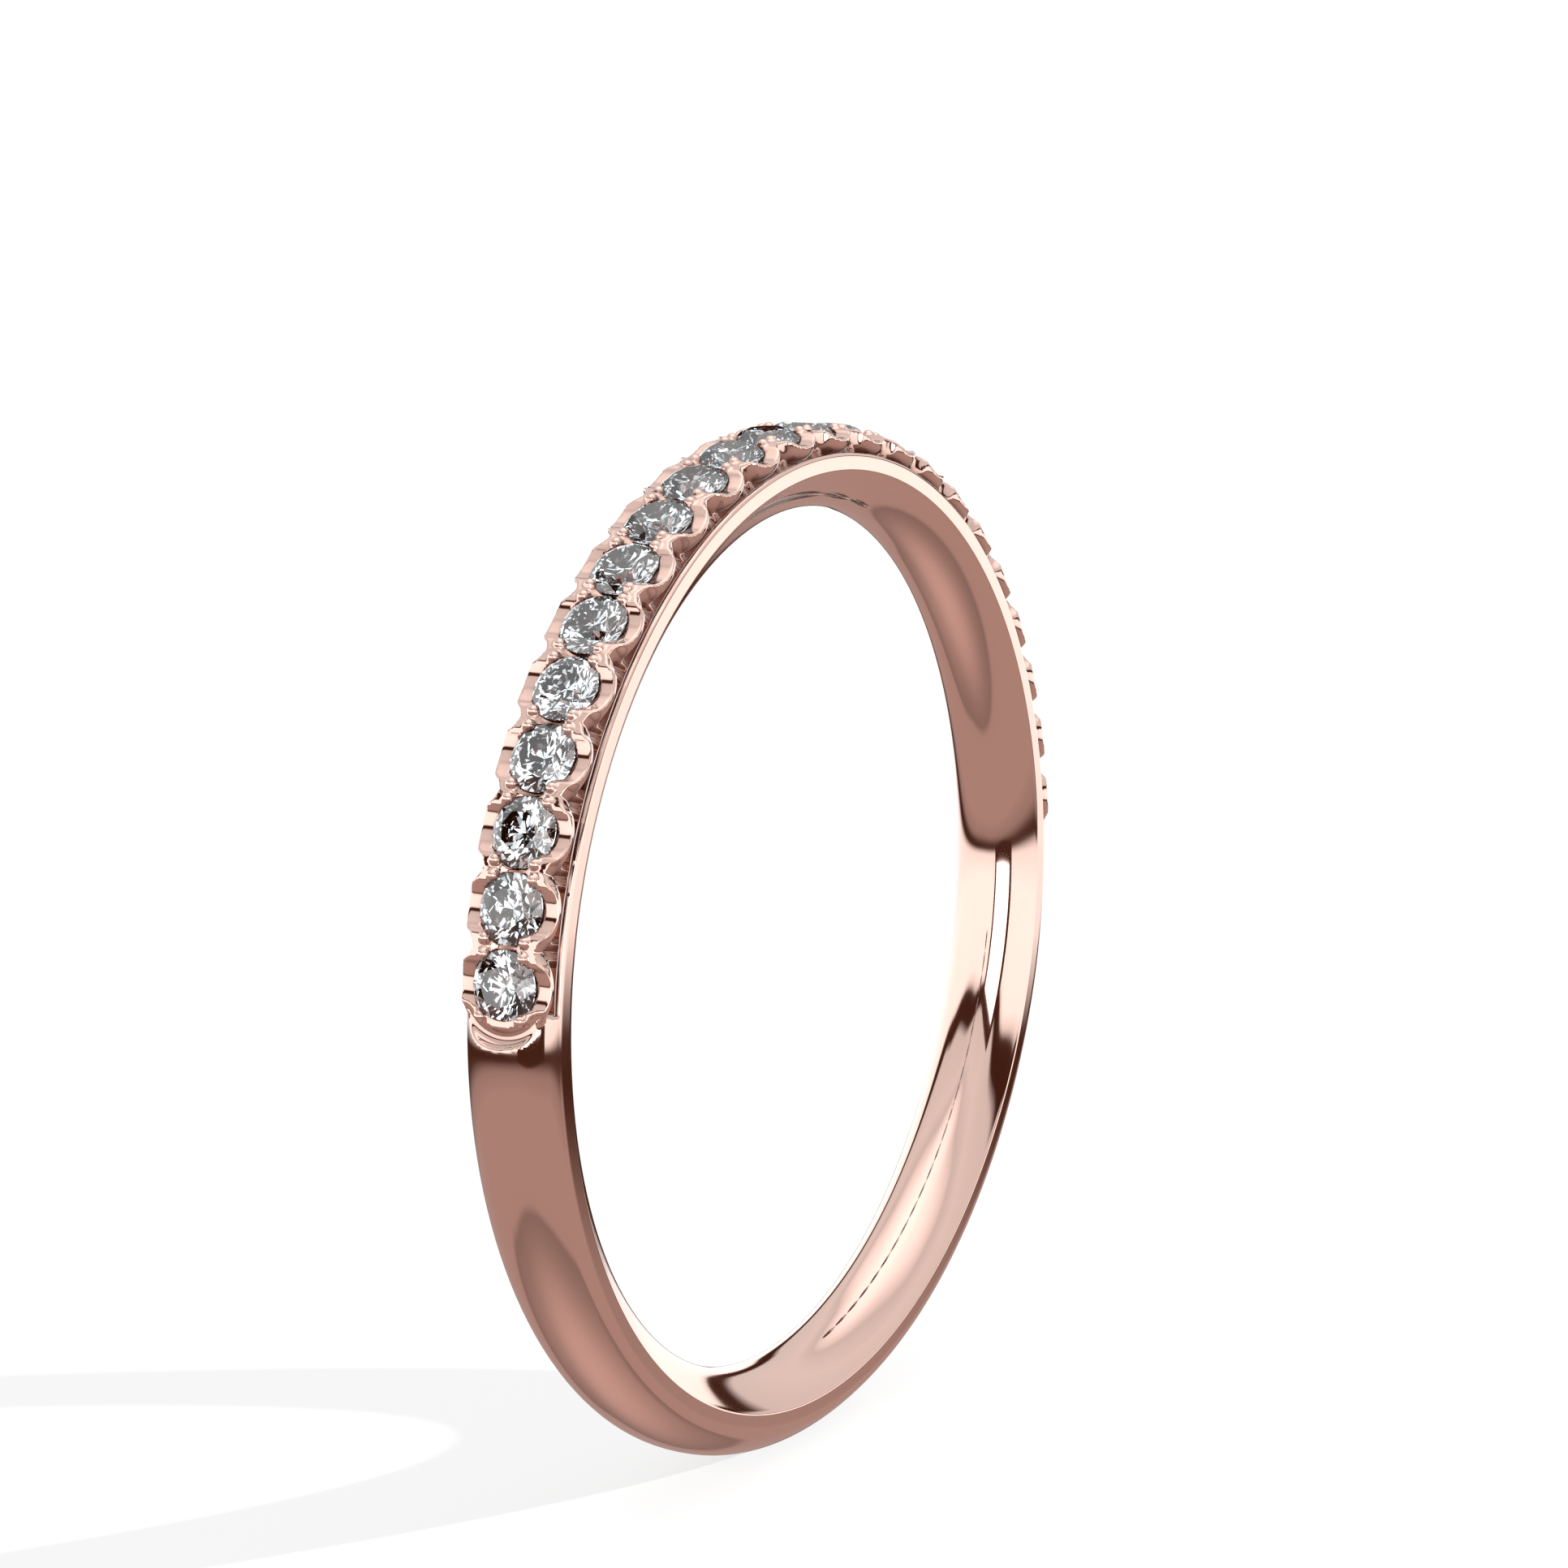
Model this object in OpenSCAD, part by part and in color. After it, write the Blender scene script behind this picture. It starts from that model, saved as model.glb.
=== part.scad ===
// Half-eternity wedding band: one cast shank with scalloped cups and split prongs,
// and a row of round brilliants over its upper half.
// Millimetres. The origin is the centre of the finger bore, the bore runs along Y,
// and +Z points at the middle of the stone row.

/* [Band] */
// Inside diameter, across the finger
finger_d = 17.0; // [15:0.5:20]
// Width of the band along the finger
band_w = 1.95; // [1.9:0.05:2.2]
// Thickness of the plain shank at its crown
band_t = 1.70; // [1.6:0.05:1.9]
// How much lower the outer dome is at the band's sides
dome_drop = 0.57; // [0.4:0.01:0.6]
// How far the comfort-fit bore opens at its two mouths
comfort_rise = 0.74; // [0.5:0.01:0.75]
// Half of the straight stretch in the middle of the bore
bore_half = 0.30; // [0.25:0.05:0.4]

/* [Stones] */
// Number of stones in the row
stone_count = 22; // [8:1:22]
// Diameter of each stone at its girdle
stone_d = 1.30; // [1.25:0.01:1.32]
// Angle from one stone to the next, about the finger
stone_pitch = 7.93; // [7.9:0.01:8.1]
// How far the stones' girdles lie below the crown of the shank
girdle_sink = 0.27; // [0.24:0.01:0.3]
// Table width as a share of the stone's diameter
table_share = 0.57; // [0.53:0.01:0.62]
// Angle of the crown's main facets, in degrees
crown_angle = 34.5; // [32:0.5:36]
// Angle of the pavilion's main facets, in degrees
pavilion_angle = 41; // [40:0.2:41.4]

/* [Setting] */
// Outer radius of the round cup under each stone
cup_r = 0.97; // [0.95:0.01:1.0]
// Depth of a cup's rounded bowl below the girdle
cup_depth = 0.50; // [0.45:0.01:0.55]
// Height of a cup's flanks above the girdle
cup_rise = 0.10; // [0.08:0.01:0.12]
// Radius of the U-shaped notch across each cup
notch_r = 0.70; // [0.65:0.01:0.8]
// Depth of that notch below the girdle
notch_depth = 0.06; // [0.04:0.01:0.08]
// Radius of the round crevice between two cups
crevice_r = 0.27; // [0.24:0.01:0.3]
// Diameter of a prong
prong_d = 0.23; // [0.2:0.01:0.25]
// Play between a stone and its seat
seat_play = 0.015; // [0.01:0.005:0.03]

/* [Hidden] */

$fn = 64;
rose_gold = [0.86, 0.60, 0.50];
diamond = [0.90, 0.94, 0.97];

half_w = band_w / 2;
bore_r = finger_d / 2;
outer_r = bore_r + band_t;
outline_steps = 5;
over = 0.3;                       // how far a cutter runs past what it cuts

// Stone
stone_r = stone_d / 2;
girdle_t = 0.03 * stone_d;
girdle_r = outer_r - girdle_sink;
table_r = table_share * stone_r;
crown_h = (stone_r - table_r) * tan(crown_angle);
pavilion_h = stone_r * tan(pavilion_angle);
star_share = 0.5;                 // star facets, from the table's edge to the girdle
lower_share = 0.78;               // lower halves, from the girdle to the culet

// Setting, as heights above the girdle plane unless they are called a radius
rail_r = bore_r + 1.10;           // top of the rail that the cups stand on
ledge_w = 0.11;                   // width of the rail's bright top edge
groove_r = rail_r - 0.20;         // floor of the groove under the cups
bowl_r = 1.5 * cup_r;             // curvature of a cup's rounded bowl
wall_half_low = 0.72;             // half width of the wall between the cups, at its foot
wall_half_top = 0.42;             // and at its top
wall_top = -0.04;
crevice_gap = 0.01;               // between a crevice and that wall
pin_d = 0.9 * prong_d;            // a prong below its round head
prong_gap = 0.14;                 // from the midpoint between two stones to a prong
prong_foot = [0.66, -0.45];       // [across the band, height] of a prong's foot
prong_head = [0.42, 0.10];        // and of its head
collar_rise = 0.06;               // top of the last cup's collar
scoop_r = 0.17;                   // radius of the hollow outside that collar
scoop_at = [0.90, 0.16];          // [from the stone's axis, height] of its centre
scoop_from = 0.40;                // from the last stone's middle to where it begins
slit = 0.24;                      // degrees between two neighbouring cups

half_pitch = stone_pitch / 2;
cup_half = half_pitch - slit / 2;
row_half = (stone_count - 1) * half_pitch;
// Axis of a crevice, across the band: it just clears the foot of the wall between the cups
crevice_y = wall_half_low + crevice_r + crevice_gap;
// Angle from the last stone to where the dome takes over from the rail
dome_start = asin(0.45 / girdle_r);

function stone_name(i) = str("stone_", i < 10 ? "0" : "", i);
function stone_angle(i) = (i - 1) * stone_pitch - row_half;
function polar(r, a, z) = [r * cos(a), r * sin(a), z];

// Radius of the comfort-fit bore at a distance y from the middle of the band
function bore_at(y) =
    bore_r + comfort_rise * pow(max(0, (abs(y) - bore_half) / (half_w - bore_half)), 3);

// Radius of the outer dome at a distance y from the middle of the band
function dome_at(y) = outer_r - dome_drop * pow(abs(y) / half_w, 3);

// Outline of the bore's side, from one mouth to the other
function bore_side() = concat(
    [for (i = [outline_steps:-1:0]) let (y = -bore_half - (half_w - bore_half) * i / outline_steps)
        [bore_at(y), y]],
    [for (i = [0:outline_steps]) let (y = bore_half + (half_w - bore_half) * i / outline_steps)
        [bore_at(y), y]]);

// Turns a section drawn as [radius, along the finger] about the finger's axis
module about_finger() {
    rotate([90, 0, 0]) rotate_extrude($fn = 180) children();
}

// Stands its children on the girdle circle at an angle: X along the row, Z outwards
module on_girdle(angle = 0) {
    rotate([0, angle, 0]) translate([0, 0, girdle_r]) children();
}

// Plain part of the shank: domed outside, comfort fit inside
module plain_section() {
    dome = [for (i = [-outline_steps:outline_steps]) let (y = -half_w * i / outline_steps)
        [dome_at(y), y]];
    polygon(concat(bore_side(), dome));
}

// Rail and tapered wall that carry the cups
module rail_section() {
    polygon(concat(bore_side(), [
        [rail_r, half_w],
        [rail_r, half_w - ledge_w],
        [groove_r, wall_half_low],
        [girdle_r + prong_foot[1], wall_half_low],
        [girdle_r + wall_top, wall_half_top],
        [girdle_r + wall_top, -wall_half_top],
        [girdle_r + prong_foot[1], -wall_half_low],
        [groove_r, -wall_half_low],
        [rail_r, -half_w + ledge_w],
        [rail_r, -half_w]]));
}

// Round cup with a rounded bowl below and a flat top
module cup() {
    intersection() {
        translate([0, 0, -cup_depth]) cylinder(r = cup_r, h = cup_depth + cup_rise);
        translate([0, 0, bowl_r - cup_depth]) sphere(r = bowl_r);
    }
}

// Solid of revolution that a stone and its play fill, open towards the table
module seat_cutter() {
    r = stone_r + seat_play;
    pavilion = r * tan(pavilion_angle);
    top = crown_h + girdle_t / 2 + over;
    rotate_extrude() polygon([
        [0, -pavilion - girdle_t / 2],
        [r, -girdle_t / 2],
        [r, girdle_t / 2],
        [table_r + seat_play, crown_h + girdle_t / 2 + seat_play],
        [table_r + seat_play, top],
        [0, top]]);
}

// U-shaped notch across a cup, along the finger
module notch_cutter() {
    translate([0, 0, notch_r - notch_depth]) rotate([90, 0, 0])
        cylinder(r = notch_r, h = 2 * (half_w + over), center = true);
}

// Two round crevices that part neighbouring cups, one on each side of the band
module crevice_cutters() {
    for (side = [-1, 1]) translate([0, side * crevice_y, rail_r - girdle_r])
        rotate([0, 0, side * 90]) cylinder(r = crevice_r, h = 1);
}

// Prong with a round head, leaning in from the band's side
module leaning_pin(side) {
    run = prong_head - prong_foot;
    translate([0, side * prong_foot[0], prong_foot[1]])
        rotate([atan2(-side * run[0], run[1]), 0, 0]) {
            cylinder(d = pin_d, h = norm(run), $fn = 24);
            translate([0, 0, norm(run)]) sphere(d = prong_d, $fn = 24);
        }
}

// What is scooped out past the last stone: a crescent hollow outside the cup's collar
module row_end_cutter() {
    scoop = [for (a = [180:30:360]) [scoop_at[0] + scoop_r * cos(a), scoop_at[1] + scoop_r * sin(a)]];
    inner = scoop_at[0] - scoop_r * cos(asin((scoop_at[1] - collar_rise) / scoop_r));
    outline = [for (p = scoop) if (p[0] > inner) p];
    intersection() {
        rotate_extrude() polygon(concat(
            [[0, collar_rise], [inner, collar_rise]],
            outline,
            [[scoop_at[0] + scoop_r, 1], [0, 1]]));
        translate([scoop_from + 1, 0, 0]) cube([2, 4, 4], center = true);
    }
}

// All space on one side, -1 or 1, of a plane through the finger's axis
module past(angle, side) {
    rotate([0, angle, 0]) translate([side < 0 ? -12 : 0, -2, -12]) cube([12, 4, 24]);
}

// Space between two angles, less than half a turn apart
module wedge(from, to) {
    intersection() {
        past(from, 1);
        past(to, -1);
    }
}

// One stone's length of the shank: rail, cup with its notch, prongs and seat
module setting(i) {
    angle = stone_angle(i);
    difference() {
        union() {
            difference() {
                intersection() {
                    on_girdle(angle) cup();
                    wedge(angle - cup_half, angle + cup_half);
                }
                on_girdle(angle) notch_cutter();
                on_girdle(angle - half_pitch) crevice_cutters();
                on_girdle(angle + half_pitch) crevice_cutters();
            }
            intersection() {
                about_finger() rail_section();
                wedge(angle - half_pitch, angle + half_pitch);
            }
            for (end = [-1, 1], side = [-1, 1])
                on_girdle(angle + end * half_pitch) translate([-end * prong_gap, 0, 0])
                    leaning_pin(side);
        }
        on_girdle(angle) seat_cutter();
    }
}

// The last setting of the row, on the +X side, and the shank's dome from there down to
// the bottom of the ring
module row_end() {
    angle = row_half;
    dome = angle + dome_start;
    difference() {
        union() {
            difference() {
                union() {
                    intersection() {
                        about_finger() rail_section();
                        wedge(angle - half_pitch, dome);
                    }
                    intersection() {
                        about_finger() plain_section();
                        wedge(dome, 180);
                    }
                    intersection() {
                        on_girdle(angle) cup();
                        past(angle - cup_half, 1);
                    }
                }
                on_girdle(angle) notch_cutter();
                on_girdle(angle - half_pitch) crevice_cutters();
                on_girdle(angle) row_end_cutter();
            }
            for (end = [-1, 1], side = [-1, 1])
                on_girdle(angle + end * half_pitch) translate([-end * prong_gap, 0, 0])
                    leaning_pin(side);
        }
        on_girdle(angle) seat_cutter();
    }
}

// The settings of a run of stones, joined half by half
module settings(first, last) {
    middle = floor((first + last) / 2);
    if (first == last) setting(first);
    else union() {
        settings(first, middle);
        settings(middle + 1, last);
    }
}

module shank() {
    color(rose_gold) union() {
        union() {
            settings(2, stone_count - 1);
            row_end();
        }
        mirror([1, 0, 0]) row_end();
    }
}

// Round brilliant: table, 8 stars, 8 bezels, 16 upper halves, girdle, 16 lower halves, 8 mains
module brilliant() {
    mid = 22.5;
    crown_mid_r = table_r * cos(mid) + star_share * (stone_r - table_r * cos(mid));
    crown_mid_h = crown_h * (stone_r - crown_mid_r * cos(mid)) / (stone_r - table_r);
    lower_mid_r = (1 - lower_share) * stone_r;
    lower_mid_h = -pavilion_h * (1 - lower_mid_r * cos(mid) / stone_r);
    g = girdle_t / 2;
    points = concat(
        [for (i = [0:7]) polar(table_r, 45 * i, g + crown_h)],
        [for (i = [0:7]) polar(crown_mid_r, 45 * i + mid, g + crown_mid_h)],
        [for (i = [0:15]) polar(stone_r, mid * i, g)],
        [for (i = [0:15]) polar(stone_r, mid * i, -g)],
        [for (i = [0:7]) polar(lower_mid_r, 45 * i + mid, -g + lower_mid_h)],
        [[0, 0, -g - pavilion_h]]);
    // Where each ring of points starts in the list
    crown_mid = 8;
    upper = 16;
    lower = 32;
    lower_mid = 48;
    culet = 56;
    faces = concat(
        [[for (i = [7:-1:0]) i]],
        [for (i = [0:7]) [i, (i + 1) % 8, crown_mid + i]],
        [for (i = [0:7]) [i, crown_mid + i, upper + 2 * i, crown_mid + (i + 7) % 8]],
        [for (i = [0:7]) [crown_mid + i, upper + 2 * i + 1, upper + 2 * i]],
        [for (i = [0:7]) [crown_mid + i, upper + (2 * i + 2) % 16, upper + 2 * i + 1]],
        [for (i = [0:15]) [upper + i, upper + (i + 1) % 16, lower + (i + 1) % 16, lower + i]],
        [for (i = [0:7]) [lower + 2 * i, lower + 2 * i + 1, lower_mid + i]],
        [for (i = [0:7]) [lower + 2 * i + 1, lower + (2 * i + 2) % 16, lower_mid + i]],
        [for (i = [0:7]) [lower + 2 * i, lower_mid + i, culet, lower_mid + (i + 7) % 8]]);
    polyhedron(points, faces);
}

module stone(i) {
    color(diamond) on_girdle(stone_angle(i)) brilliant();
}

shank();
for (i = [1:stone_count]) stone(i);
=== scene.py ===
import math

import bmesh
import bpy
import numpy as np
from mathutils import Matrix, Vector


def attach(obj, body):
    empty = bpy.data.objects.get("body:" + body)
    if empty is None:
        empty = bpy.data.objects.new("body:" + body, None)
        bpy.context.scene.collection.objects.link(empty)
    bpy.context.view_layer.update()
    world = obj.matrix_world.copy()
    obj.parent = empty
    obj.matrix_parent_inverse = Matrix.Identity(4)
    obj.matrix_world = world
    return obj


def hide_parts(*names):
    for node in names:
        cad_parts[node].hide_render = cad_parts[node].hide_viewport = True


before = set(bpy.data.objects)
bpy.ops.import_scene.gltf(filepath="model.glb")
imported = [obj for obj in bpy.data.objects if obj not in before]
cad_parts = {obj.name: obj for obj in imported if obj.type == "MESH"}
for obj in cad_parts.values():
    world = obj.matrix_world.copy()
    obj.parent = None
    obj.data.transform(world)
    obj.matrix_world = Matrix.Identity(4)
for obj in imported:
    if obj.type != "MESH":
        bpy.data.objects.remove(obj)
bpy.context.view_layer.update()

MM = 0.001

# ---------------------------------------------------------------- sizes (mm)
# Band
BORE_R = 8.5
OUTER_R = 10.2
HALF_W = 0.975
COMFORT_RISE = 0.74             # the bore's curve, from the middle to the side
COMFORT_POWER = 2.4
DOME_DROP = 0.57                # the outside's curve, from the middle to the side
DOME_POWER = 2.4
RIM_INSET = 0.03                # the bore's curve stops this far inside the side
# Rounded edge between the side and the bore: (inset from the side, radius, normal)
RIM = ((0, 9.262, (0.97, -0.24)), (0.012, 9.235, (0.8, -0.6)))

# Stones
STONES = 22
PITCH = math.radians(7.93)
HALF_PITCH = PITCH / 2
STONE_R = 0.65
GIRDLE_R = 9.93                 # from the finger's axis to the girdle plane
GIRDLE_HALF = 0.0195
TABLE_R = 0.57 * STONE_R
CROWN = math.radians(34.5)
PAVILION = math.radians(41)
STAR_SHARE = 0.5                # star facets, from the table's edge to the girdle
LOWER_SHARE = 0.78              # lower halves, from the girdle to the culet
GIRDLE_SIDES = 64
TURN = 17                       # degrees one stone is turned against the next

# Rail and the wall on it, as radii or as (across the band, radius)
RAIL_R = 9.60
LEDGE_Y = 0.865                 # inner edge of the rail's top ledge
GROOVE = (0.72, 9.40)
WALL_FOOT = (0.72, 9.48)
WALL_HEAD = (0.42, 9.89)

# Setting, as heights above the girdle plane unless they are called a radius
CUP_R = 0.955
CUP_DEPTH = 0.50
CUP_TOP = 0.10
BOWL_POWER = 10 / 3             # how squarely a cup's wall turns into its bowl
NOTCH_R = 0.70
NOTCH_FLOOR = -0.06
CREVICE_R = 0.27
CREVICE_Y = 0.945
CREVICE_FLOOR = 0.015           # above the rail
VALLEY_R = 0.44                 # hollow along the middle, between two stones
VALLEY_FLOOR = -0.07
PRONG_GAP = 0.14                # from the midpoint between two stones to a prong
PIN_R = 0.10
BEAD_R = 0.112
PRONG_FOOT = (0.66, -0.45)      # (across the band, height)
PRONG_HEAD = (0.42, 0.10)
SEAT_PLAY = 0.013

# Past the last stone: heights, and distances from that stone's axis
COLLAR_TOP = 0.07
HOLLOW_RHO = 0.90
HOLLOW_H = 0.16
HOLLOW_R = 0.17
HOLLOW_FROM = 0.36
DOME_START = 0.45

# How far one surface runs over into the next
SIDE_FILLET = 0.12
RAIL_FILLET = 0.09
GROOVE_FILLET = 0.06
EDGE_FILLET = 0.05
CUP_FILLET = 0.04
NOTCH_FILLET = 0.045
CREVICE_FILLET = 0.05
FINE_FILLET = 0.02
RAMP_FILLET = 0.06
COLLAR_FILLET = 0.03

# ----------------------------------------------------------- camera and light
VIEW_AZIMUTH, VIEW_ELEVATION = -60.097, 13.491
VIEW_DISTANCE = 0.08016         # metres, like the rest of this section
AIM_RISE = 0.00303              # the camera aims this far above the ring's centre
LENS, SENSOR = 93.38, 36
NEAR_CLIP = 0.005
FLOOR_HALF = 20
FLOOR_GREY = 0.15
FLOOR_GLOW = 0.79
LOW_LIGHT_POWER = 9.7
LOW_LIGHT_FROM = (42.6, 13.8)   # azimuth and elevation in degrees
LOW_LIGHT_WIDTH = 0.8           # degrees
SKY_STRENGTH = 1.5
GOLD = (0.95, 0.66, 0.57, 1)
# dark brown painted into the metal's recesses as shade
PAINTED_SHADE = (0.16, 0.04, 0.02, 1)
STONE_TINT = (0.90, 0.96, 1.0, 1)
TABLE_TINT = (1.0, 0.75, 0.69)
DARK_TINT = (1.0, 0.35, 0.2)
WALL_TINT = (1.0, 1.0, 1.0)
WHITE = (1, 1, 1)
BLUE = (0.75, 0.88, 1)
PALE_BLUE = (0.8, 0.9, 1)
# Panels round the object. Each: azimuth, elevation, width and height in degrees as seen
# from the object, level and tint
CARD_AWAY = 0.6
EDGE_AWAY = 0.62                # the dark panel stands just behind the softbox
SOFTBOX = (307, 5, 38, 34, 2.2, WHITE)
SOFTBOX_EDGE = (307, 5, 48, 44, 0.06, DARK_TINT)
# Panels that the metal doesn't show, so that the stones have darks and sparkle
STONE_CARDS = [
    (300, 38, 46, 26, 0.0, WHITE), (250, 30, 30, 34, 0.02, WHITE),
    (345, 52, 34, 26, 0.0, WHITE), (200, 50, 36, 30, 0.0, WHITE),
    (120, 40, 40, 34, 0.02, WHITE), (50, 48, 34, 30, 0.0, WHITE),
    (10, 22, 26, 26, 0.0, WHITE), (160, 18, 30, 22, 0.0, WHITE),
    (280, 66, 30, 16, 0.0, WHITE), (80, 74, 40, 14, 0.0, WHITE),
    (320, 60, 16, 12, 4.5, BLUE), (225, 52, 12, 12, 4.5, PALE_BLUE),
    (90, 52, 14, 12, 4.5, PALE_BLUE), (20, 40, 12, 12, 4.0, WHITE),
    (150, 62, 14, 12, 4.5, WHITE)]
# Surroundings: how many degrees the bands sink towards +X, +Y and +Z (negative: they rise),
# how many they swell, and the elevations between which both set in
WALL_LEAN = (7.8, -4.5, 0)
WALL_SWELL = 5
LEAN_FROM, LEAN_FULL = -8, 4
# Elevation in degrees, tint and level of what surrounds the object
SKY = [
    (-90, TABLE_TINT, 0.60), (-80, TABLE_TINT, 0.57), (-72, TABLE_TINT, 0.52),
    (-64, TABLE_TINT, 0.43), (-56, TABLE_TINT, 0.33), (-48.5, TABLE_TINT, 0.26),
    (-46, TABLE_TINT, 0.42), (-38, TABLE_TINT, 0.43), (-22, TABLE_TINT, 0.43),
    (-18, TABLE_TINT, 0.34), (-16, DARK_TINT, 0.06), (-14.6, DARK_TINT, 0.06),
    (-13.6, WALL_TINT, 1.1), (-8, WALL_TINT, 1.35), (8, WALL_TINT, 1.3),
    (10.5, WALL_TINT, 0.9), (12, DARK_TINT, 0.06), (18.5, DARK_TINT, 0.05),
    (21, WALL_TINT, 0.72), (36, WALL_TINT, 0.80), (44, WALL_TINT, 0.68),
    (47, WALL_TINT, 0.85), (58, WALL_TINT, 1.25), (74, WALL_TINT, 1.5), (90, WALL_TINT, 1.5)]

# ------------------------------------------------------------- mesh fineness
CELLS = 18                      # cells from a stone's middle to the gap beside it
STEP_TH = HALF_PITCH / CELLS
STEP = 0.0375
CUT_R = 9.285                   # the side wall below this radius is a plain strip
TOP_R = 10.34                   # the grid's upper end, above the cups and beads
END_CELLS = 36                  # cells past the last stone before the plain shank
COARSE = 9                      # fine cells per coarse segment of the bore
BORE_ROWS = 18                  # across half of the bore
PLAIN_ROWS = 91                 # round the plain shank
ROOT_STEPS = 6                  # steps that find where the surface crosses an edge
CENTRE_PULL = 0.02              # pulls a vertex towards the middle of its crossings
LAST_MOVE = 0.01                # furthest that a vertex moves in the last correction
NORMAL_STEP = 0.004             # between the places that a normal is measured from
WELD_GRID = 1e5                 # points that round to the same one of these per mm are one


def smin(a, b, k):
    """Union of two distance fields with a fillet of about k."""
    h = np.maximum(k - np.abs(a - b), 0) / k
    return np.minimum(a, b) - h * h * k / 4


def smax(a, b, k):
    """What two distance fields share, with a fillet of about k."""
    return -smin(-a, -b, k)


def dome_r(y):
    """Outer radius of the plain shank."""
    return OUTER_R - DOME_DROP * (y / HALF_W) ** DOME_POWER


def rail_field(y, r):
    """Rail with its ledge and groove, and the tapered wall that carries the cups."""
    block = smax(y - HALF_W, r - RAIL_R, RAIL_FILLET)
    groove_y, groove_r = LEDGE_Y - GROOVE[0], RAIL_R - GROOVE[1]
    groove = (r - RAIL_R) * groove_y + (LEDGE_Y - y) * groove_r
    groove = groove / math.hypot(groove_y, groove_r)
    block = smax(block, groove, GROOVE_FILLET)
    wall_y, wall_r = WALL_FOOT[0] - WALL_HEAD[0], WALL_HEAD[1] - WALL_FOOT[1]
    lean = (y - WALL_FOOT[0]) * wall_r + (r - WALL_FOOT[1]) * wall_y
    lean = np.maximum(lean / math.hypot(wall_y, wall_r), y - WALL_FOOT[0])
    wall = smax(lean, r - WALL_HEAD[1], EDGE_FILLET)
    return smin(block, wall, GROOVE_FILLET)


def cup_field(rho, h):
    """Round cup with a rounded bowl below: a superellipse, divided by its own steepness
    so that it is nearly a distance."""
    side = (rho / CUP_R) ** BOWL_POWER
    depth = np.minimum(h, 0)
    level = np.sqrt(side + (depth / CUP_DEPTH) ** 2 + 1e-9)
    steep_rho = BOWL_POWER * side / np.maximum(rho, 1e-3) / 2 / level
    steep_h = np.abs(depth) / CUP_DEPTH ** 2 / level
    bowl = (level - 1) / np.maximum(np.hypot(steep_rho, steep_h), 0.8)
    return smax(bowl, h - CUP_TOP, EDGE_FILLET)


def pin_field(x, y, h):
    """Leaning prong with a round head."""
    foot_y, foot_h = PRONG_FOOT
    head_y, head_h = PRONG_HEAD
    run_y, run_h = head_y - foot_y, head_h - foot_h
    along = ((y - foot_y) * run_y + (h - foot_h) * run_h) / (run_y * run_y + run_h * run_h)
    along = np.clip(along, 0, 1)
    off_y, off_h = y - foot_y - along * run_y, h - foot_h - along * run_h
    pin = np.sqrt(x * x + off_y ** 2 + off_h ** 2) - PIN_R
    bead = np.sqrt(x * x + (y - head_y) ** 2 + (h - head_h) ** 2) - BEAD_R
    return smin(pin, bead, FINE_FILLET)


def seat_field(rho, h):
    """What a stone and its play fill, open towards the table."""
    r = STONE_R + SEAT_PLAY
    under = (rho - r) * math.sin(PAVILION) - (h + GIRDLE_HALF) * math.cos(PAVILION)
    over = (rho - r) * math.sin(CROWN) + (h - GIRDLE_HALF) * math.cos(CROWN)
    over = np.minimum(over, rho - TABLE_R)
    return np.maximum(np.maximum(under, rho - r), over)


def plain_field(y, r):
    """Plain shank, with its domed outside and rounded sides."""
    slope = DOME_POWER * DOME_DROP * (y / HALF_W) ** (DOME_POWER - 1) / HALF_W
    dome = (r - dome_r(y)) / np.sqrt(1 + slope ** 2)
    return smax(dome, y - HALF_W, SIDE_FILLET)


def ramp_field(rho, x, h):
    """What the hollow past the last stone removes: a crescent outside its collar."""
    hollow = np.hypot(rho - HOLLOW_RHO, h - HOLLOW_H) - HOLLOW_R
    above = np.maximum(HOLLOW_H - h, rho - HOLLOW_RHO - HOLLOW_R)
    hollow = np.minimum(hollow, np.maximum(above, HOLLOW_RHO - rho))
    collar = np.maximum(COLLAR_TOP - h, rho - HOLLOW_RHO)
    return smax(smin(hollow, collar, COLLAR_FILLET), HOLLOW_FROM - x, SIDE_FILLET)


def shank_field(th, y, r, end=False):
    """Distance to the shank's outside near a stone at angle 0, negative in metal."""
    y = np.abs(y)
    if not end:
        th = np.abs((th + HALF_PITCH) % PITCH - HALF_PITCH)
    gap = th - HALF_PITCH
    x, h = r * np.sin(th), r * np.cos(th) - GIRDLE_R
    rho = np.sqrt(x * x + y * y)
    xg, hg = r * np.sin(gap), r * np.cos(gap) - GIRDLE_R
    f = rail_field(y, r)
    if end:
        f = np.minimum(f, smax(plain_field(y, r), DOME_START - x, EDGE_FILLET))
    f = smin(f, cup_field(rho, h), CUP_FILLET)
    notch = np.hypot(x, h - NOTCH_R - NOTCH_FLOOR) - NOTCH_R
    f = smax(f, -notch, NOTCH_FILLET)
    if end:
        f = smax(f, -ramp_field(rho, x, h), RAMP_FILLET)
        beads = pin_field(xg + PRONG_GAP, y, hg)
    else:
        crevice = np.hypot(xg, y - CREVICE_Y) - CREVICE_R
        crevice = smax(crevice, RAIL_R + CREVICE_FLOOR - r, CREVICE_FILLET)
        f = smax(f, -crevice, CREVICE_FILLET)
        valley = np.hypot(y, h - VALLEY_R - VALLEY_FLOOR) - VALLEY_R
        f = smax(f, -valley, CUP_FILLET)
        beads = pin_field(np.abs(xg) - PRONG_GAP, y, hg)
    f = smin(f, beads, EDGE_FILLET)
    return smax(f, -seat_field(rho, h), FINE_FILLET)


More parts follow.
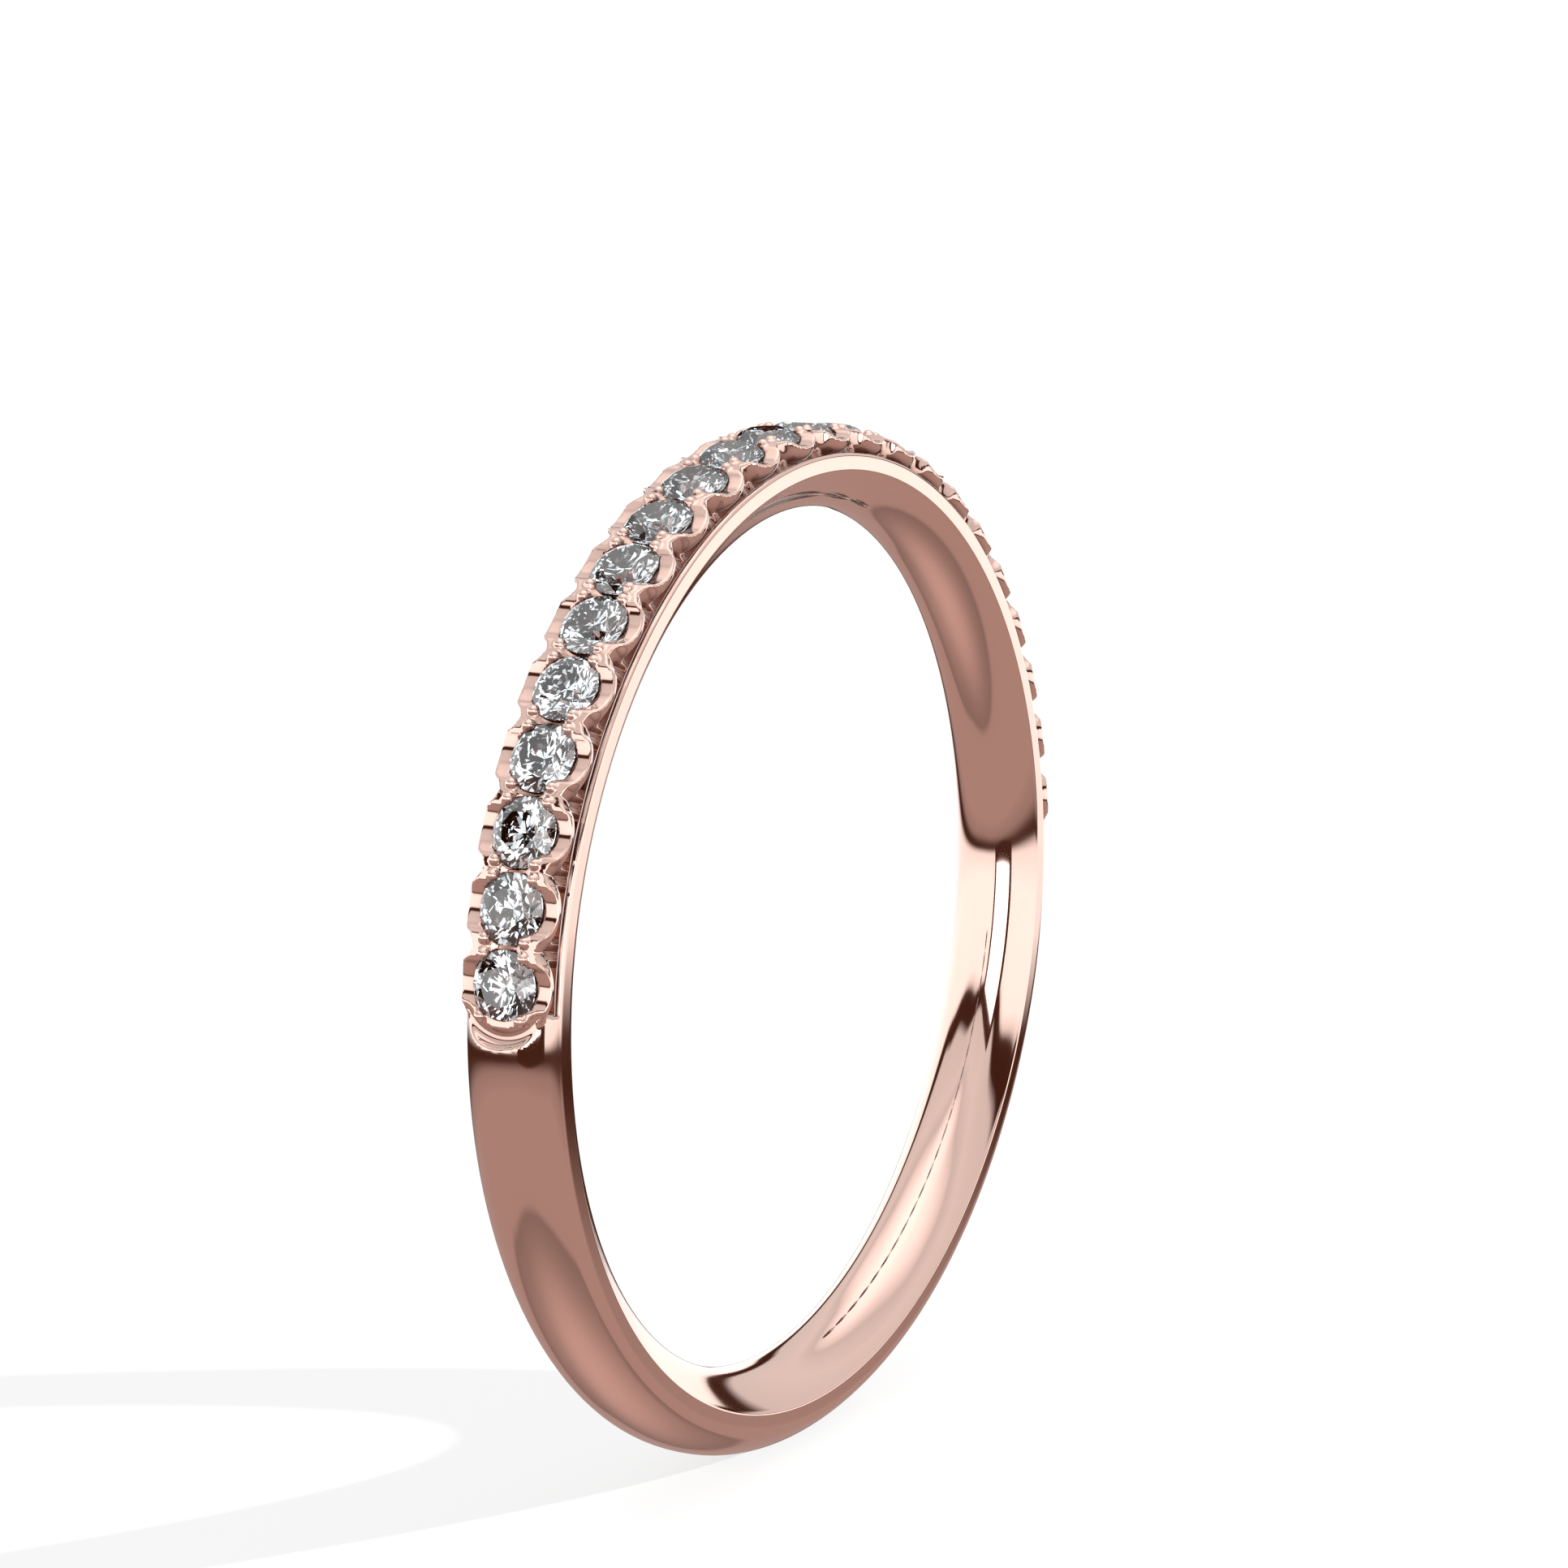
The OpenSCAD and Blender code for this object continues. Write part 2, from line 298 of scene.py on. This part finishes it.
def gradient(field, th, y, r):
    """Unit normals in the directions (along the row, along the finger, outwards)."""
    e = NORMAL_STEP
    et = e / GIRDLE_R
    g = np.stack([
        (field(th + et, y, r) - field(th - et, y, r)) * GIRDLE_R / r,
        field(th, y + e, r) - field(th, y - e, r),
        field(th, y, r + e) - field(th, y, r - e)], -1) / (2 * e)
    size = np.linalg.norm(g, axis=-1)
    return g / np.maximum(size, 1e-6)[:, None], size


def edge_crossings(field, f, axes, axis):
    """Grid edges along one axis that the surface crosses. Returns their low corners, the
    points where it crosses them, and whether each low corner is in metal."""
    lo = [slice(None)] * 3
    hi = [slice(None)] * 3
    lo[axis], hi[axis] = slice(0, -1), slice(1, None)
    a, b = f[tuple(lo)], f[tuple(hi)]
    idx = np.argwhere((a < 0) != (b < 0))
    pa = np.stack([axes[k][idx[:, k]] for k in range(3)], -1)
    pb = pa.copy()
    pb[:, axis] = axes[axis][idx[:, axis] + 1]
    fa, fb = a[tuple(idx.T)], b[tuple(idx.T)]
    for _ in range(ROOT_STEPS):
        s = np.clip(fa / (fa - fb), 0.05, 0.95)[:, None]
        pm = pa + (pb - pa) * s
        fm = field(*pm.T)
        left = ((fm < 0) == (fa < 0))
        pa, fa = np.where(left[:, None], pm, pa), np.where(left, fm, fa)
        pb, fb = np.where(left[:, None], pb, pm), np.where(left, fb, fm)
    return idx, pa + (pb - pa) * (fa / (fa - fb))[:, None], fa < 0


def contour(field, cells_th):
    """Dual contouring on a polar grid. Returns vertices (th, y, r), faces and normals.
    The cells next to angle 0, to the last angle, to y = 0 and to CUT_R straddle that
    plane, and their vertices are put on it, so that mirrored copies meet exactly."""
    ny, nr = math.ceil((HALF_W + 2 * STEP) / STEP), math.ceil((TOP_R - CUT_R) / STEP)
    axes = [(np.arange(cells_th + 2) - 0.5) * STEP_TH,
            (np.arange(ny) - 0.5) * STEP,
            CUT_R + (np.arange(nr) - 0.5) * STEP]
    scale = np.array([GIRDLE_R, 1, 1])
    grid = np.meshgrid(*axes, indexing="ij")
    f = field(*grid)
    shape = np.array(f.shape)
    count = np.zeros(shape)
    mass = np.zeros((*shape, 3))
    ata = np.zeros((*shape, 3, 3))
    atb = np.zeros((*shape, 3))
    quads = []
    for axis in range(3):
        idx, p, in_metal = edge_crossings(field, f, axes, axis)
        n, _ = gradient(field, *p.T)
        q = p * scale
        others = [k for k in range(3) if k != axis]
        ring = []
        for d0, d1 in ((0, 0), (-1, 0), (-1, -1), (0, -1)):
            c = idx.copy()
            c[:, others[0]] += d0
            c[:, others[1]] += d1
            ok = (c >= 0).all(1) & (c < shape - 1).all(1)
            at = tuple(c[ok].T)
            np.add.at(count, at, 1)
            np.add.at(mass, at, q[ok])
            np.add.at(ata, at, n[ok, :, None] * n[ok, None, :])
            np.add.at(atb, at, n[ok] * (n[ok] * q[ok]).sum(-1, keepdims=True))
            ring.append(c)
        inside = (idx[:, others] > 0).all(1) & (idx[:, others] < shape[others] - 1).all(1)
        inside &= idx[:, axis] > 0
        if axis == 0:
            inside &= idx[:, 0] < shape[0] - 2
        ring = np.stack(ring, 1)[inside]
        flip = in_metal[inside] == (axis == 1)
        ring[flip] = ring[flip][:, ::-1]
        quads.append(ring)
    quads = np.concatenate(quads)
    cells = np.argwhere(count > 0)
    at = tuple(cells.T)
    centre = mass[at] / count[at][:, None]
    lhs = ata[at] + CENTRE_PULL * np.eye(3)
    rhs = atb[at] - np.einsum("nij,nj->ni", ata[at], centre)
    v = centre + np.linalg.solve(lhs, rhs[..., None])[..., 0]
    low = np.stack([axes[k][cells[:, k]] for k in range(3)], -1) * scale
    high = np.stack([axes[k][cells[:, k] + 1] for k in range(3)], -1) * scale
    v = np.clip(v, low, high) / scale

    def to_planes(v):
        v[cells[:, 0] == 0, 0] = 0
        v[cells[:, 0] == cells_th, 0] = cells_th * STEP_TH
        v[cells[:, 1] == 0, 1] = 0
        v[cells[:, 2] == 0, 2] = CUT_R
        return v

    v = to_planes(v)
    n, size = gradient(field, *v.T)
    move = np.clip(field(*v.T) / np.maximum(size, 0.5), -LAST_MOVE, LAST_MOVE)
    v = to_planes(v - n * move[:, None] / scale)
    n, _ = gradient(field, *v.T)
    number = np.full(shape, -1)
    number[at] = np.arange(len(cells))
    faces = number[tuple(np.moveaxis(quads, -1, 0))]
    used = np.unique(faces)
    renumber = np.full(len(cells), -1)
    renumber[used] = np.arange(len(used))
    return v[used], renumber[faces], n[used]


def add_object(name, data):
    obj = bpy.data.objects.new(name, data)
    bpy.context.scene.collection.objects.link(obj)
    return obj


class Shell:
    """Collects pieces of the surface, given as (angle, y, radius) with their normals."""

    def __init__(self):
        self.v, self.n, self.f, self.total = [], [], [], 0

    def add(self, v, n, faces, angle=0, flip_th=False, flip_y=False):
        """Adds a piece turned to an angle, mirrored along the row or across the band."""
        v, n = v.copy(), n.copy()
        if flip_th:
            v[:, 0] *= -1
            n[:, 0] *= -1
        if flip_y:
            v[:, 1] *= -1
            n[:, 1] *= -1
        th = v[:, 0] + angle
        s, c = np.sin(th), np.cos(th)
        self.v.append(np.stack([v[:, 2] * s, v[:, 1], v[:, 2] * c], -1))
        self.n.append(np.stack([n[:, 0] * c + n[:, 2] * s, n[:, 1],
                                n[:, 2] * c - n[:, 0] * s], -1))
        flip = flip_th != flip_y
        for f in faces:
            self.f.append([self.total + i for i in (f[::-1] if flip else f)])
        self.total += len(v)

    def object(self, name):
        """Welds the pieces where they meet and makes one object of them."""
        v, n = np.concatenate(self.v), np.concatenate(self.n)
        _, first, inverse = np.unique(np.round(v * WELD_GRID).astype(np.int64), axis=0,
                                      return_index=True, return_inverse=True)
        inverse = inverse.reshape(-1)
        normals = np.zeros((len(first), 3))
        np.add.at(normals, inverse, n)
        normals /= np.maximum(np.linalg.norm(normals, axis=1), 1e-9)[:, None]
        mesh = bpy.data.meshes.new(name)
        faces = []
        for f in self.f:
            g = [int(inverse[i]) for i in f]
            g = [i for k, i in enumerate(g) if i != g[k - 1]]
            if len(set(g)) > 2:
                faces.append(g)
        mesh.from_pydata((v[first] * MM).tolist(), [], faces)
        mesh.shade_smooth()
        mesh.normals_split_custom_set_from_vertices(normals.tolist())
        mesh.update()
        return add_object(name, mesh)


def bore_profile():
    """Points (y, radius) and normals of the bore's side, from one wall to the other."""
    pts, nrm = [(HALF_W, CUT_R)], [(1, 0)]
    for inset, radius, normal in RIM:
        pts.append((HALF_W - inset, radius))
        nrm.append(normal)
    half = HALF_W - RIM_INSET
    for k in range(BORE_ROWS):
        y = half - half * k / (BORE_ROWS - 1)
        u = max(y, 0) / HALF_W
        slope = COMFORT_POWER * COMFORT_RISE * u ** (COMFORT_POWER - 1) / HALF_W
        pts.append((y, BORE_R + COMFORT_RISE * u ** COMFORT_POWER))
        size = math.hypot(slope, 1)
        nrm.append((slope / size, -1 / size))
    pts += [(-y, r) for y, r in reversed(pts)]
    nrm += [(-a, b) for a, b in reversed(nrm)]
    return np.array(pts), np.array(nrm)


def add_settings(shell, row):
    """Every setting but the outer halves of the two at the row's ends."""
    v, f, n = contour(shank_field, CELLS)
    for k, angle in enumerate(row):
        for flip_th in (False, True):
            if (k == 0 and flip_th) or (k == STONES - 1 and not flip_th):
                continue
            for flip_y in (False, True):
                shell.add(v, n, f, angle, flip_th, flip_y)


def add_row_ends(shell, row):
    """Outer halves of the two end settings, with a little plain shank. Returns the
    section where they stop and its normals, from one side of the band to the other."""
    def end_field(th, y, r):
        return shank_field(th, y, r, end=True)

    v, f, n = contour(end_field, END_CELLS)
    for angle, flip_th in ((row[0], True), (row[-1], False)):
        for flip_y in (False, True):
            shell.add(v, n, f, angle, flip_th, flip_y)
    last = np.flatnonzero(np.isclose(v[:, 0], END_CELLS * STEP_TH))
    last = last[np.argsort(np.arctan2(v[last, 1], v[last, 2] - CUT_R))]
    return [np.concatenate([(half * [-1, 1])[::-1], half[1:]])
            for half in (v[last, 1:], n[last, 1:])]


def add_plain_shank(shell, section, section_n, turns):
    """Section of the plain shank, turned round the finger."""
    rows = len(section)
    v = np.array([(t, y, r) for t in turns for y, r in section])
    n = np.array([(0, a, b) for t in turns for a, b in section_n])
    faces = [[i * rows + j, (i + 1) * rows + j, (i + 1) * rows + j + 1, i * rows + j + 1]
             for i in range(len(turns) - 1) for j in range(rows - 1)]
    shell.add(v, n, faces)


def add_bore(shell, row, turns):
    """Bore side: a coarse strip all the way round, fanned to the setting's fine edge."""
    cells = 2 * CELLS * (STONES - 1) + END_CELLS
    fine = [row[0] + i * STEP_TH for i in range(-END_CELLS, cells + 1)]
    coarse = fine[::COARSE] + list(turns[1:-1])
    pts, nrm = bore_profile()
    width = len(pts)
    v = [(t, y, r) for t in coarse for y, r in pts]
    n = [(0, a, b) for t in coarse for a, b in nrm]
    faces = []
    arc = len(fine[::COARSE]) - 1
    for i in range(len(coarse)):
        j = (i + 1) % len(coarse)
        for p in range(width - 1):
            if i < arc and p in (0, width - 2):
                continue
            faces.append([i * width + p, j * width + p, j * width + p + 1, i * width + p + 1])
    middle = COARSE // 2
    for side in (1, -1):
        first = len(v)
        v += [(t, side * HALF_W, CUT_R) for t in fine]
        n += [(0, side, 0)] * len(fine)
        inner = 1 if side == 1 else width - 2
        for i in range(arc):
            a, b = i * width + inner, (i + 1) * width + inner
            start = first + i * COARSE
            fan = [[start + k, a if k < middle else b, start + k + 1] for k in range(COARSE)]
            fan.append([start + middle, a, b])
            faces += fan if side == -1 else [tri[::-1] for tri in fan]
    shell.add(np.array(v, float), np.array(n, float), faces)


def build_shank():
    shell = Shell()
    row = [(k - (STONES - 1) / 2) * PITCH for k in range(STONES)]
    start = row[-1] + END_CELLS * STEP_TH
    turns = np.linspace(start, 2 * math.pi - start, PLAIN_ROWS)
    add_settings(shell, row)
    section, section_n = add_row_ends(shell, row)
    add_plain_shank(shell, section, section_n, turns)
    add_bore(shell, row, turns)
    return shell.object("shank_casting")


def facet_planes():
    """Facets of a round brilliant, each as a point and an outward normal."""
    g, mid = GIRDLE_HALF, math.radians(22.5)
    crown_h = (STONE_R - TABLE_R) * math.tan(CROWN)
    pavilion_h = STONE_R * math.tan(PAVILION)
    star_r = TABLE_R * math.cos(mid)
    star_r += STAR_SHARE * (STONE_R - star_r)
    star_h = crown_h * (STONE_R - star_r * math.cos(mid)) / (STONE_R - TABLE_R)
    low_r = (1 - LOWER_SHARE) * STONE_R
    low_h = -pavilion_h * (1 - low_r * math.cos(mid) / STONE_R)

    def at(r, turn, z):
        return Vector((r * math.cos(turn), r * math.sin(turn), z))

    def plane(a, b, c):
        n = (b - a).cross(c - a).normalized()
        return a, n if n.dot(a) > 0 else -n

    planes = [(at(0, 0, g + crown_h), Vector((0, 0, 1)))]
    for i in range(8):
        a = i * math.pi / 4
        star = at(star_r, a + mid, g + star_h)
        low = at(low_r, a + mid, -g + low_h)
        corner = at(TABLE_R, a, g + crown_h)
        planes.append(plane(corner, at(TABLE_R, a + 2 * mid, g + crown_h), star))
        planes.append(plane(corner, star, at(star_r, a - mid, g + star_h)))
        planes.append(plane(low, at(low_r, a - mid, -g + low_h), at(0, 0, -g - pavilion_h)))
        for b in (a, a + 2 * mid):
            planes.append(plane(star, at(STONE_R, b, g), at(STONE_R, a + mid, g)))
            planes.append(plane(low, at(STONE_R, b, -g), at(STONE_R, a + mid, -g)))
    return planes


def brilliant_mesh():
    """Round prism cut down facet by facet."""
    bm = bmesh.new()
    rings = []
    for z in (-STONE_R, STONE_R):
        rings.append([bm.verts.new((STONE_R * math.cos(k * math.tau / GIRDLE_SIDES),
                                    STONE_R * math.sin(k * math.tau / GIRDLE_SIDES), z))
                      for k in range(GIRDLE_SIDES)])
    bm.faces.new(rings[1])
    bm.faces.new(rings[0][::-1])
    for k in range(GIRDLE_SIDES):
        j = (k + 1) % GIRDLE_SIDES
        bm.faces.new((rings[0][k], rings[0][j], rings[1][j], rings[1][k]))
    for point, normal in facet_planes():
        geom = bm.verts[:] + bm.edges[:] + bm.faces[:]
        bmesh.ops.bisect_plane(bm, geom=geom, plane_co=point, plane_no=normal,
                               clear_outer=True, dist=1e-7)
        edges = [e for e in bm.edges if len(e.link_faces) == 1]
        if edges:
            bmesh.ops.holes_fill(bm, edges=edges, sides=0)
    bmesh.ops.remove_doubles(bm, verts=bm.verts, dist=1e-6)
    bmesh.ops.recalc_face_normals(bm, faces=bm.faces)
    bmesh.ops.scale(bm, vec=(MM, MM, MM), verts=bm.verts)
    mesh = bpy.data.meshes.new("brilliant")
    bm.to_mesh(mesh)
    bm.free()
    return mesh


def material(name, **inputs):
    """Principled material with uniform values on the shader's own sockets."""
    mat = bpy.data.materials.new(name)
    mat.use_nodes = True
    shader = mat.node_tree.nodes["Principled BSDF"]
    for key, value in inputs.items():
        shader.inputs[key.replace("_", " ")].default_value = value
    return mat


def add_node(tree, kind, **values):
    """New node; inputs are given by name, other values are its properties."""
    node = tree.nodes.new(kind)
    for key, value in values.items():
        if hasattr(node, key):
            setattr(node, key, value)
        else:
            node.inputs[key.replace("_", " ")].default_value = value
    return node


def remap(tree, source, low, high, to_low, to_high):
    """Output that runs from to_low to to_high while the source runs from low to high."""
    node = add_node(tree, "ShaderNodeMapRange", From_Min=low, From_Max=high,
                    To_Min=to_low, To_Max=to_high)
    tree.links.new(source, node.inputs["Value"])
    return node.outputs["Result"]


def rose_gold_material():
    """Polished rose gold: hand-buffed haze, hairline scratches, a slight waviness, and painted
    shade darkening its recesses.
    """
    mat = material("rose_gold", Metallic=1.0)
    tree = mat.node_tree
    shader = tree.nodes["Principled BSDF"]
    place = add_node(tree, "ShaderNodeTexCoord").outputs["Object"]
    haze = add_node(tree, "ShaderNodeTexNoise", Scale=420.0, Detail=3.0)
    tree.links.new(place, haze.inputs["Vector"])
    tree.links.new(remap(tree, haze.outputs["Fac"], 0.3, 0.7, 0.025, 0.075),
                   shader.inputs["Roughness"])
    stretch = add_node(tree, "ShaderNodeMapping", Scale=(600.0, 9000.0, 600.0))
    tree.links.new(place, stretch.inputs["Vector"])
    hair = add_node(tree, "ShaderNodeTexNoise", Scale=1.0, Detail=2.0)
    tree.links.new(stretch.outputs["Vector"], hair.inputs["Vector"])
    wave = add_node(tree, "ShaderNodeTexNoise", Scale=260.0, Detail=1.0)
    tree.links.new(place, wave.inputs["Vector"])
    fine = add_node(tree, "ShaderNodeBump", Strength=0.02, Distance=0.00001)
    broad = add_node(tree, "ShaderNodeBump", Strength=0.05, Distance=0.00005)
    tree.links.new(hair.outputs["Fac"], fine.inputs["Height"])
    tree.links.new(wave.outputs["Fac"], broad.inputs["Height"])
    tree.links.new(broad.outputs["Normal"], fine.inputs["Normal"])
    tree.links.new(fine.outputs["Normal"], shader.inputs["Normal"])
    # Painted shade: where ambient occlusion finds a recess, the colour turns towards a dark
    # brown
    open_sky = add_node(tree, "ShaderNodeAmbientOcclusion", samples=6, Distance=0.0004)
    lit_share = remap(tree, open_sky.outputs["AO"], 0.42, 0.86, 0, 1)
    shade_mix = add_node(tree, "ShaderNodeMix", data_type="RGBA")
    shade_mix.inputs["A"].default_value = PAINTED_SHADE
    shade_mix.inputs["B"].default_value = GOLD
    tree.links.new(lit_share, shade_mix.inputs["Factor"])
    tree.links.new(shade_mix.outputs["Result"], shader.inputs["Base Color"])
    return mat


def diamond_material():
    """Clear stone with faint polishing lines on its facets."""
    mat = material("diamond", Base_Color=STONE_TINT, IOR=2.417, Transmission_Weight=1.0)
    tree = mat.node_tree
    shader = tree.nodes["Principled BSDF"]
    place = add_node(tree, "ShaderNodeTexCoord").outputs["Object"]
    lines = add_node(tree, "ShaderNodeTexNoise", Scale=9000.0, Detail=2.0)
    tree.links.new(place, lines.inputs["Vector"])
    tree.links.new(remap(tree, lines.outputs["Fac"], 0.3, 0.7, 0.0, 0.012),
                   shader.inputs["Roughness"])
    return mat


def floor_material():
    """White table, lit mostly from within so that only the low light's shadow shows."""
    return material("floor", Base_Color=(FLOOR_GREY, FLOOR_GREY, FLOOR_GREY, 1), Roughness=0.9,
                    Specular_IOR_Level=0.0, Emission_Color=(*WHITE, 1),
                    Emission_Strength=FLOOR_GLOW)


def studio_world():
    """Soft surroundings that depend on how high one looks: a mid-toned table below,
    a bright band along the horizon with thin dark edges, pale walls, a white ceiling."""
    world = bpy.data.worlds.new("studio")
    bpy.context.scene.world = world
    world.use_nodes = True
    tree = world.node_tree
    view = tree.nodes["Background"]
    view.inputs["Strength"].default_value = SKY_STRENGTH
    place = add_node(tree, "ShaderNodeTexCoord").outputs["Generated"]
    split = add_node(tree, "ShaderNodeSeparateXYZ")
    tree.links.new(place, split.inputs["Vector"])
    height = add_node(tree, "ShaderNodeMath", operation="ARCSINE")
    tree.links.new(split.outputs["Z"], height.inputs[0])
    degrees = add_node(tree, "ShaderNodeMath", operation="MULTIPLY")
    degrees.inputs[1].default_value = 180 / math.pi
    tree.links.new(height.outputs[0], degrees.inputs[0])
    # The bands lean and swell a little, except those low down
    swell = add_node(tree, "ShaderNodeTexNoise", Scale=1.6, Detail=0.0)
    tree.links.new(place, swell.inputs["Vector"])
    lean = add_node(tree, "ShaderNodeVectorMath", operation="DOT_PRODUCT")
    lean.inputs[1].default_value = WALL_LEAN
    tree.links.new(place, lean.inputs[0])
    rise = add_node(tree, "ShaderNodeMath", operation="ADD")
    tree.links.new(remap(tree, swell.outputs["Fac"], 0.3, 0.7, -WALL_SWELL, WALL_SWELL),
                   rise.inputs[0])
    tree.links.new(lean.outputs["Value"], rise.inputs[1])
    above = remap(tree, degrees.outputs[0], LEAN_FROM, LEAN_FULL, 0, 1)
    shift = add_node(tree, "ShaderNodeMath", operation="MULTIPLY")
    tree.links.new(rise.outputs[0], shift.inputs[0])
    tree.links.new(above, shift.inputs[1])
    total = add_node(tree, "ShaderNodeMath", operation="ADD")
    tree.links.new(degrees.outputs[0], total.inputs[0])
    tree.links.new(shift.outputs[0], total.inputs[1])
    ramp = add_node(tree, "ShaderNodeValToRGB")
    tree.links.new(remap(tree, total.outputs[0], -90, 90, 0, 1), ramp.inputs["Fac"])
    tree.links.new(ramp.outputs["Color"], view.inputs["Color"])
    stops = ramp.color_ramp.elements
    for k, (degree, tint, level) in enumerate(SKY):
        stop = stops[k] if k < 2 else stops.new(1)
        stop.position = (degree + 90) / 180
        stop.color = (*(c * level / SKY_STRENGTH for c in tint), 1)


def axes_towards(azimuth, elevation):
    """Unit vectors towards a place round the object, to its right and upwards there."""
    a, e = math.radians(azimuth), math.radians(elevation)
    back = Vector((math.sin(a) * math.cos(e), -math.cos(a) * math.cos(e), math.sin(e)))
    side = Vector((math.cos(a), math.sin(a), 0))
    return back, side, back.cross(side)


def card(name, azimuth, elevation, width, height, level, tint, away=CARD_AWAY,
         stones_only=False):
    """Glowing or dark panel round the object, which the camera doesn't see."""
    back, side, up = axes_towards(azimuth, elevation)
    half_w = away * math.tan(math.radians(width / 2))
    half_h = away * math.tan(math.radians(height / 2))
    corners = [back * away + side * sx * half_w + up * sy * half_h
               for sx, sy in ((-1, -1), (1, -1), (1, 1), (-1, 1))]
    mesh = bpy.data.meshes.new(name)
    mesh.from_pydata(corners, [], [(0, 1, 2, 3)])
    mesh.materials.append(material(name, Base_Color=(0, 0, 0, 1), Specular_IOR_Level=0.0,
                                   Emission_Color=(*tint, 1), Emission_Strength=level))
    obj = add_object(name, mesh)
    obj.visible_camera = False
    obj.visible_shadow = False
    obj.visible_diffuse = False
    obj.visible_glossy = not stones_only


# ------------------------------------------------------------------- pieces
shank = build_shank()
shank.data.materials.append(rose_gold_material())
shank.visible_glossy = False    # the metal doesn't mirror itself
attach(shank, "root")
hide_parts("shank")

diamond = diamond_material()
for k in range(STONES):
    mesh = brilliant_mesh()
    mesh.materials.append(diamond)
    stone = add_object("diamond_%02d" % (k + 1), mesh)
    stone.matrix_world = (Matrix.Rotation((k - (STONES - 1) / 2) * PITCH, 4, "Y")
                          @ Matrix.Translation((0, 0, GIRDLE_R * MM))
                          @ Matrix.Rotation(math.radians(TURN * k % 45), 4, "Z"))
    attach(stone, "root")
    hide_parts("stone_%02d" % (k + 1))

# ------------------------------------------------------------------- studio
floor_mesh = bpy.data.meshes.new("floor")
floor_mesh.from_pydata([(x * FLOOR_HALF, y * FLOOR_HALF, -OUTER_R * MM)
                        for x, y in ((-1, -1), (1, -1), (1, 1), (-1, 1))], [], [(0, 1, 2, 3)])
floor_mesh.materials.append(floor_material())
floor = add_object("floor", floor_mesh)
floor.visible_glossy = False
floor.visible_transmission = False

studio_world()
card("softbox_edge", *SOFTBOX_EDGE, away=EDGE_AWAY)
card("softbox", *SOFTBOX)
for k, panel in enumerate(STONE_CARDS):
    card("stone_card_%02d" % k, *panel, stones_only=True)

scene = bpy.context.scene
scene.view_settings.view_transform = "Standard"

back, side, up = axes_towards(VIEW_AZIMUTH, VIEW_ELEVATION)
aim = up * AIM_RISE
eye = back * VIEW_DISTANCE
ahead = (aim - eye).normalized()
camera_data = bpy.data.cameras.new("camera")
camera_data.lens = LENS
camera_data.sensor_width = SENSOR
camera_data.clip_start = NEAR_CLIP
camera = add_object("camera", camera_data)
camera.matrix_world = (Matrix.Translation(eye)
                       @ Matrix((side, side.cross(ahead), -ahead)).transposed().to_4x4())
scene.camera = camera

low_light = bpy.data.lights.new("low_light", "SUN")
low_light.energy = LOW_LIGHT_POWER
low_light.angle = math.radians(LOW_LIGHT_WIDTH)
lamp = add_object("low_light", low_light)
lamp.rotation_euler = axes_towards(*LOW_LIGHT_FROM)[0].to_track_quat("Z", "Y").to_euler()
lamp.visible_glossy = False
lamp.visible_transmission = False
